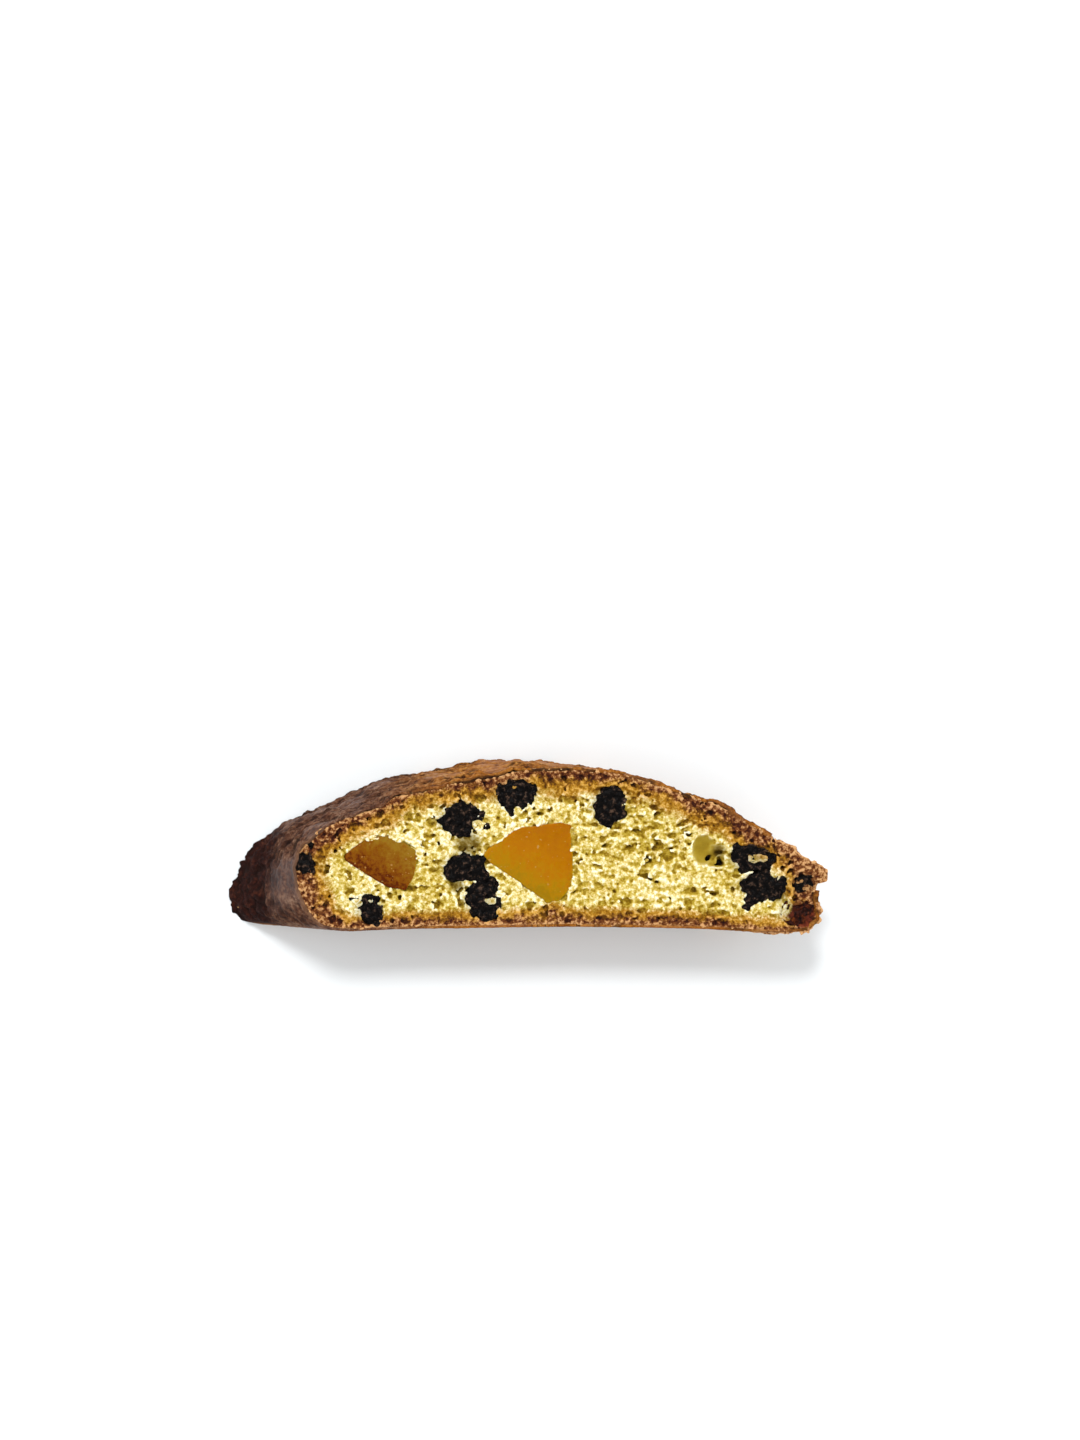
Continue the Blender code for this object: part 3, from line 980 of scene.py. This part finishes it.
def add(tree, kind, inputs=None, **settings):
    """Adds a shader node with its settings and inputs. A socket is linked, and anything else is a value."""
    made = tree.nodes.new("ShaderNode" + kind)
    for name, value in settings.items():
        setattr(made, name, value)
    for socket, value in (inputs or {}).items():
        if isinstance(value, bpy.types.NodeSocket):
            tree.links.new(value, made.inputs[socket])
        else:
            made.inputs[socket].default_value = value
    return made


def new_material(name):
    """A material and its tree, with only the Principled shader."""
    made = bpy.data.materials.new(name)
    made.use_nodes = True
    return made, made.node_tree, made.node_tree.nodes["Principled BSDF"]


def pattern(tree, size, detail=3.0, roughness=0.6, stretch=(1.0, 1.0, 1.0), distortion=0.0):
    """A noise pattern whose lumps are about size millimetres across."""
    place = add(tree, "TexCoord").outputs["Object"]
    mapped = add(tree, "Mapping", {"Vector": place, "Scale": [1 / MM / size / s for s in stretch]})
    inputs = {"Vector": mapped.outputs[0], "Scale": 1.0, "Detail": detail, "Roughness": roughness}
    return add(tree, "TexNoise", inputs | {"Distortion": distortion}).outputs[0]


def number(tree, operation, a, b=0.5, c=0.5):
    """One step of arithmetic."""
    return add(tree, "Math", {0: a, 1: b, 2: c}, operation=operation).outputs[0]


def span(tree, value, low, high, to_low=0.0, to_high=1.0):
    """Stretches the numbers from low to high, smoothly, and clips the rest."""
    inputs = {"Value": value, "From Min": low, "From Max": high, "To Min": to_low, "To Max": to_high}
    return add(tree, "MapRange", inputs, interpolation_type="SMOOTHSTEP").outputs[0]


def ramp(tree, value, *stops):
    """Colours along a value. A stop is a place from 0 to 1 and a hex colour."""
    made = add(tree, "ValToRGB", {"Fac": value})
    elements = made.color_ramp.elements
    while len(elements) < len(stops):
        elements.new(0.5)
    for element, (place, colour) in zip(elements, stops):
        element.position = place
        element.color = linear(colour)
    return made.outputs["Color"]


def blended(tree, amount, under, over, blend="MIX"):
    """One colour over another. A colour is a hex string or a socket."""
    a, b = (linear(c) if isinstance(c, str) else c for c in (under, over))
    made = add(tree, "Mix", {0: amount, 6: a, 7: b}, data_type="RGBA", blend_type=blend)
    return made.outputs[2]


def named(tree, name):
    """An attribute that a cell kept at the vertices."""
    return add(tree, "Attribute", attribute_name=name).outputs["Fac"]


# %% [markdown]
# ## Baked crumb
# Crumb is starch and egg with air in it: quite matt, and light goes some way into it, so its grains glow and
# its holes look deep yellow; their shade is also painted into the colour, darker the deeper and more closed
# in. It browns from cream through gold to toast as it nears the crust, in blotches.

# %% The crumb's material
def baked_crumb():
    made, tree, shader = new_material("baked_crumb")
    blotch = number(tree, "SUBTRACT", pattern(tree, 2.4), 0.5)
    speck = number(tree, "SUBTRACT", pattern(tree, 0.75, detail=3.0, roughness=0.75), 0.5)
    wide = number(tree, "SUBTRACT", pattern(tree, 7.0, detail=1.0, stretch=(1.6, 1.0, 1.0)), 0.5)

    grainy = number(tree, "MULTIPLY", speck, number(tree, "SUBTRACT", 1.0, named(tree, "steam_hole")))
    # shade is partly painted shade, from the pits, and partly random grain and broad blotches; every ramp
    # below darkens along it.
    shade = number(tree, "ADD", named(tree, "painted_pit_shade"), 0.04)
    shade = number(tree, "MULTIPLY_ADD", grainy, 1.5, shade)
    shade = number(tree, "MULTIPLY_ADD", wide, 0.3, shade)
    shade = number(tree, "MULTIPLY_ADD", named(tree, "steam_hole"), -0.1, shade)
    pale = ((0.06, "#f8f4d6"), (0.24, "#e0cf8c"), (0.45, "#bda33c"), (0.7, "#927410"), (1.0, "#5c4205"))
    dough = ramp(tree, shade, *pale)
    golden = ramp(tree, shade, (0.05, "#d0a045"), (0.35, "#a0700f"), (0.65, "#744a04"), (1.0, "#3c1d02"))
    toasted = ramp(tree, shade, (0.05, "#cc9c68"), (0.28, "#74421a"), (0.5, "#3e1506"), (0.8, "#180602"))

    browned = number(tree, "MULTIPLY_ADD", blotch, 0.7, named(tree, "browning"))
    browned = number(tree, "MULTIPLY_ADD", speck, 0.5, browned)
    colour = blended(tree, span(tree, browned, 0.0, 0.5), dough, golden)
    colour = blended(tree, span(tree, browned, 0.45, 0.8), colour, toasted)
    burnt = span(tree, number(tree, "MULTIPLY_ADD", blotch, 1.5, named(tree, "burnt")), 0.2, 0.7)
    colour = blended(tree, burnt, colour, ramp(tree, shade, (0.1, "#6a2a14"), (0.6, "#2c0a05")))
    colour = blended(tree, number(tree, "MULTIPLY", named(tree, "steam_hole"), 0.7), colour, "#957c1e")
    colour = blended(tree, named(tree, "stain"), colour, "#958c70", "MULTIPLY")

    fine = pattern(tree, 0.35, detail=2.0)
    relief = add(tree, "Bump", {"Height": fine, "Strength": 0.5, "Distance": 0.15 * MM})
    tree.links.new(colour, shader.inputs["Base Color"])
    tree.links.new(span(tree, fine, 0.2, 0.8, 0.75, 0.95), shader.inputs["Roughness"])
    tree.links.new(relief.outputs[0], shader.inputs["Normal"])
    shader.inputs["Subsurface Weight"].default_value = 0.15
    shader.inputs["Subsurface Radius"].default_value = (1.0, 0.65, 0.25)
    shader.inputs["Subsurface Scale"].default_value = 0.5 * MM
    shader.inputs["Specular IOR Level"].default_value = 0.15
    return made


# %% [markdown]
# ## Egg-washed crust
# The egg dries to a thin clear varnish, so the crust shines softly where it is smooth and is dull in its
# furrows; its furrows and wrinkle grooves are also painted darker, as painted shade. The nose is darkest,
# nearly burnt, and the top of the dome is a reddish brown.

# %% The crust's material
def egg_washed_crust():
    made, tree, shader = new_material("egg_washed_crust")
    place = add(tree, "SeparateXYZ", {0: add(tree, "TexCoord").outputs["Object"]})
    along = number(tree, "DIVIDE", place.outputs["X"], MM)
    above = number(tree, "DIVIDE", place.outputs["Z"], MM)
    to_base = number(tree, "DIVIDE", place.outputs["Y"], MM)
    blotch = number(tree, "SUBTRACT", pattern(tree, 4.0, detail=4.0), 0.5)
    speck = number(tree, "SUBTRACT", pattern(tree, 0.8, detail=4.0, roughness=0.7), 0.5)
    furrow = named(tree, "furrow")
    smoothness = named(tree, "smoothness")
    flat = {"X": named(tree, "along_dome"), "Y": named(tree, "up_slice")}
    rolled = add(tree, "CombineXYZ", flat).outputs[0]
    long = add(tree, "Mapping", {"Vector": rolled, "Scale": (1 / 2.2, 1 / 0.9, 1.0)}).outputs[0]
    fibres = {"Vector": long, "Scale": 1.0, "Detail": 3.0, "Roughness": 0.65}
    streak = add(tree, "TexNoise", fibres).outputs[0]
    wrinkle = span(tree, streak, 0.46, 0.38)
    wrinkle = number(tree, "MULTIPLY", wrinkle, span(tree, smoothness, 0.1, 0.6, 1.0, 0.0))
    wrinkle = number(tree, "MULTIPLY", wrinkle, span(tree, to_base, -16.8, -16.2))

    tone = number(tree, "MULTIPLY_ADD", speck, 1.8, number(tree, "MULTIPLY_ADD", blotch, 0.9, 0.5))
    nose = ramp(tree, tone, (0.1, "#140201"), (0.5, "#280b05"), (0.9, "#482214"))
    left = ramp(tree, tone, (0.1, "#2e130a"), (0.5, "#5c3a28"), (0.9, "#886852"))
    dome = ramp(tree, tone, (0.1, "#5a2c08"), (0.5, "#905618"), (0.9, "#b07c3c"))
    base = ramp(tree, tone, (0.1, "#4c2610"), (0.5, "#754a24"), (0.9, "#946c42"))
    far = number(tree, "MULTIPLY_ADD", blotch, 9.0, along)
    colour = blended(tree, span(tree, far, -8.0, -34.0), dome, left)
    colour = blended(tree, span(tree, far, -45.0, -54.0), colour, nose)
    colour = blended(tree, span(tree, to_base, -16.3, -16.9), colour, base)
    rough = span(tree, smoothness, 0.2, 0.9, 1.0, 0.0)
    # Painted shade in the furrows, weaker where the wash ran smooth.
    furrow_shade = number(tree, "MULTIPLY", furrow, number(tree, "MULTIPLY", rough, 0.85))
    colour = blended(tree, furrow_shade, colour, "#180703")
    # Painted shade in the grooves of the stretched wrinkles.
    colour = blended(tree, number(tree, "MULTIPLY", wrinkle, 0.7), colour, "#200b05")
    colour = blended(tree, span(tree, smoothness, 0.5, 1.0), colour, "#d8c8c4", "MULTIPLY")
    edge = number(tree, "MULTIPLY", span(tree, above, 17.2, 17.6), span(tree, along, -38.0, -44.0, 0.0, 0.5))
    colour = blended(tree, edge, colour, "#75543c")

    relief = add(tree, "Bump", {"Height": wrinkle, "Strength": 0.8, "Distance": -0.3 * MM})
    grain = {"Height": speck, "Strength": 0.8, "Distance": 0.3 * MM, "Normal": relief.outputs[0]}
    shine = number(tree, "MULTIPLY", smoothness, 0.3)
    tree.links.new(colour, shader.inputs["Base Color"])
    tree.links.new(span(tree, smoothness, 0.0, 1.0, 0.75, 0.45), shader.inputs["Roughness"])
    tree.links.new(add(tree, "Bump", grain).outputs[0], shader.inputs["Normal"])
    tree.links.new(shine, shader.inputs["Coat Weight"])
    shader.inputs["Coat Roughness"].default_value = 0.35
    shader.inputs["Specular IOR Level"].default_value = 0.1
    return made


# %% [markdown]
# ## Dried berry and candied apricot
# A dried berry is nearly black, with a dull shine on its folds, and its paler blotches are partly brownish
# patches and partly painted sheen. Candied apricot is a clear jelly: light goes deep into it and comes back
# orange, and its wet-looking surface is almost smooth.

# %% The fruit's materials
def dried_berry_flesh(name, dark, middle, light):
    made, tree, shader = new_material(name)
    blotch = pattern(tree, 1.1, detail=4.0, roughness=0.7)
    # The palest stop, on random blotches, is partly brownish patches and partly painted sheen on the dark
    # berry.
    colour = ramp(tree, blotch, (0.4, dark), (0.55, middle), (0.7, light))
    relief = add(tree, "Bump", {"Height": pattern(tree, 0.6), "Strength": 0.9, "Distance": 0.25 * MM})
    tree.links.new(colour, shader.inputs["Base Color"])
    tree.links.new(span(tree, blotch, 0.3, 0.7, 0.25, 0.5), shader.inputs["Roughness"])
    tree.links.new(relief.outputs[0], shader.inputs["Normal"])
    shader.inputs["Specular IOR Level"].default_value = 0.06
    return made


def candied_apricot(name, start, way, length, cloudy, *stops):
    """Jelly whose colour changes along a way across the face, from a start in millimetres."""
    made, tree, shader = new_material(name)
    place = add(tree, "TexCoord").outputs["Object"]
    moved = add(tree, "VectorMath", {0: place, 1: [-v * MM for v in start]}, operation="ADD").outputs[0]
    unit = Vector(way).normalized() / (length * MM)
    across = add(tree, "VectorMath", {0: moved, 1: unit}, operation="DOT_PRODUCT").outputs["Value"]
    blotch = pattern(tree, 5.0, detail=2.0)
    streak = pattern(tree, 1.6, detail=2.0, stretch=(0.5, 3.0, 1.0))
    along = number(tree, "MULTIPLY_ADD", number(tree, "SUBTRACT", blotch, 0.5), 0.7, across)
    along = number(tree, "MULTIPLY_ADD", number(tree, "SUBTRACT", streak, 0.5), 0.3, along)
    mottle = pattern(tree, 0.9, detail=4.0, roughness=0.75)
    along = number(tree, "MULTIPLY_ADD", number(tree, "SUBTRACT", mottle, 0.5), cloudy, along)
    sugar = span(tree, pattern(tree, 0.7, detail=1.0), 0.69, 0.75, 0.0, 0.6)
    colour = blended(tree, sugar, ramp(tree, along, *stops), "#b48c50")
    relief = add(tree, "Bump", {"Height": mottle, "Strength": 0.25, "Distance": 0.15 * MM})
    tree.links.new(colour, shader.inputs["Base Color"])
    tree.links.new(relief.outputs[0], shader.inputs["Normal"])
    tree.links.new(span(tree, blotch, 0.3, 0.7, 0.25, 0.4), shader.inputs["Roughness"])
    shader.inputs["Subsurface Weight"].default_value = 0.5
    shader.inputs["Subsurface Radius"].default_value = (1.0, 0.45, 0.05)
    shader.inputs["Subsurface Scale"].default_value = 2.0 * MM
    shader.inputs["Specular IOR Level"].default_value = 0.06
    return made


# %% [markdown]
# ## Put the pieces in place
# Every piece rides on the frame's one body and stands for the CAD nodes whose place it takes.


# %% Finish the pieces
def place_piece(made, material, slot, *nodes):
    """Gives a piece its material and hangs it on the body in place of its CAD nodes. The slot is not used.
    """
    made.data.materials.clear()
    made.data.materials.append(material)
    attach(made, "root")
    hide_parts(*nodes)


CRUMB = baked_crumb()
for made in (crumb_left, crumb_right, crumb_under, crumb_cover):
    place_piece(made, CRUMB, "baked_crumb", "biscotto")
place_piece(crust, egg_washed_crust(), "baked_crumb", "biscotto")

BERRY = dried_berry_flesh("dried_berry_flesh", "#020101", "#0a0605", "#5c4638")
TOASTED_BERRY = dried_berry_flesh("toasted_berry_flesh", "#0c0302", "#3a1408", "#7a3c12")
ORANGE = candied_apricot(
    "candied_apricot", (4.0, -10.0, 0.0), (0.5, 0.85, 0.0), 15.0, 0.8,
    (0.0, "#947006"), (0.2, "#a47402"), (0.45, "#a86a00"), (1.0, "#9e5e00"),
)
AMBER = candied_apricot(
    "amber_apricot", (-35.2, -2.4, 0.0), (0.46, 0.89, 0.0), 8.0, 2.0,
    (0.0, "#562000"), (0.25, "#7a4204"), (0.6, "#825208"), (1.0, "#8c6818"),
)
for node, bm in FRUIT.items():
    piece = finished(bm, "fruit_" + node, 5000 if is_under(node) else 20000)
    if node in BERRIES:
        place_piece(piece, TOASTED_BERRY if node == "berry_end_lower" else BERRY, "dried_berry", node)
    else:
        place_piece(piece, AMBER if node == "apricot_left" else ORANGE, "candied_apricot", node)

# %% [markdown]
# ## Table, light and camera
# The slice lies on a white table under a broad soft light, seen from straight above. White light comes from
# all round, and a large soft lamp beyond the dome leaves a soft shadow along the base.

# %% Table, light and camera
scene = bpy.context.scene
scene.view_settings.view_transform = "Standard"
scene.view_settings.look = "None"

TABLE_SIZE = 3.0
AT_HORIZON, OVERHEAD = 1.7, 0.6  # brightness of the room, which is darker above the table
table = bmesh.new()
bmesh.ops.create_grid(table, x_segments=1, y_segments=1, size=TABLE_SIZE / 2)
floor = to_object(table, "table")
paint, _, shader = new_material("white_table")
shader.inputs["Base Color"].default_value = linear("#edf1f3")
shader.inputs["Roughness"].default_value = 0.7
floor.data.materials.append(paint)

world = bpy.data.worlds.new("white_room")
world.use_nodes = True
sky = world.node_tree.nodes["Background"]
upwards = add(world.node_tree, "SeparateXYZ", {0: add(world.node_tree, "TexCoord").outputs["Generated"]})
from_horizon = {"Value": upwards.outputs["Z"], "From Min": 0.0, "From Max": 1.0}
from_horizon |= {"To Min": AT_HORIZON, "To Max": OVERHEAD}
brightness = add(world.node_tree, "MapRange", from_horizon)
world.node_tree.links.new(brightness.outputs[0], sky.inputs["Strength"])
sky.inputs["Color"].default_value = (1.0, 1.0, 1.0, 1.0)
scene.world = world


def put(data, location):
    """An object that holds a lamp or a camera at a place."""
    made = bpy.data.objects.new(data.name, data)
    made.location = location
    scene.collection.objects.link(made)
    return made


lamp = bpy.data.lights.new("soft_lamp", "AREA")
lamp.shape = "DISK"
lamp.size = 0.22
lamp.energy = 4.6
lamp_object = put(lamp, (-0.05, 0.5, 0.8))
lamp_object.rotation_euler = (Vector((0, 0, 0)) - lamp_object.location).to_track_quat("-Z", "Y").to_euler()

CAMERA_HEIGHT = 0.450
FRAME_WIDTH = 0.216  # what the picture's width covers on the upper cut face
camera = bpy.data.cameras.new("camera")
camera.sensor_width = 36.0
camera.lens = camera.sensor_width * (CAMERA_HEIGHT - THICKNESS * MM) / (FRAME_WIDTH * 1440 / 1080)
scene.camera = put(camera, (0.0036, 0.0256, CAMERA_HEIGHT))
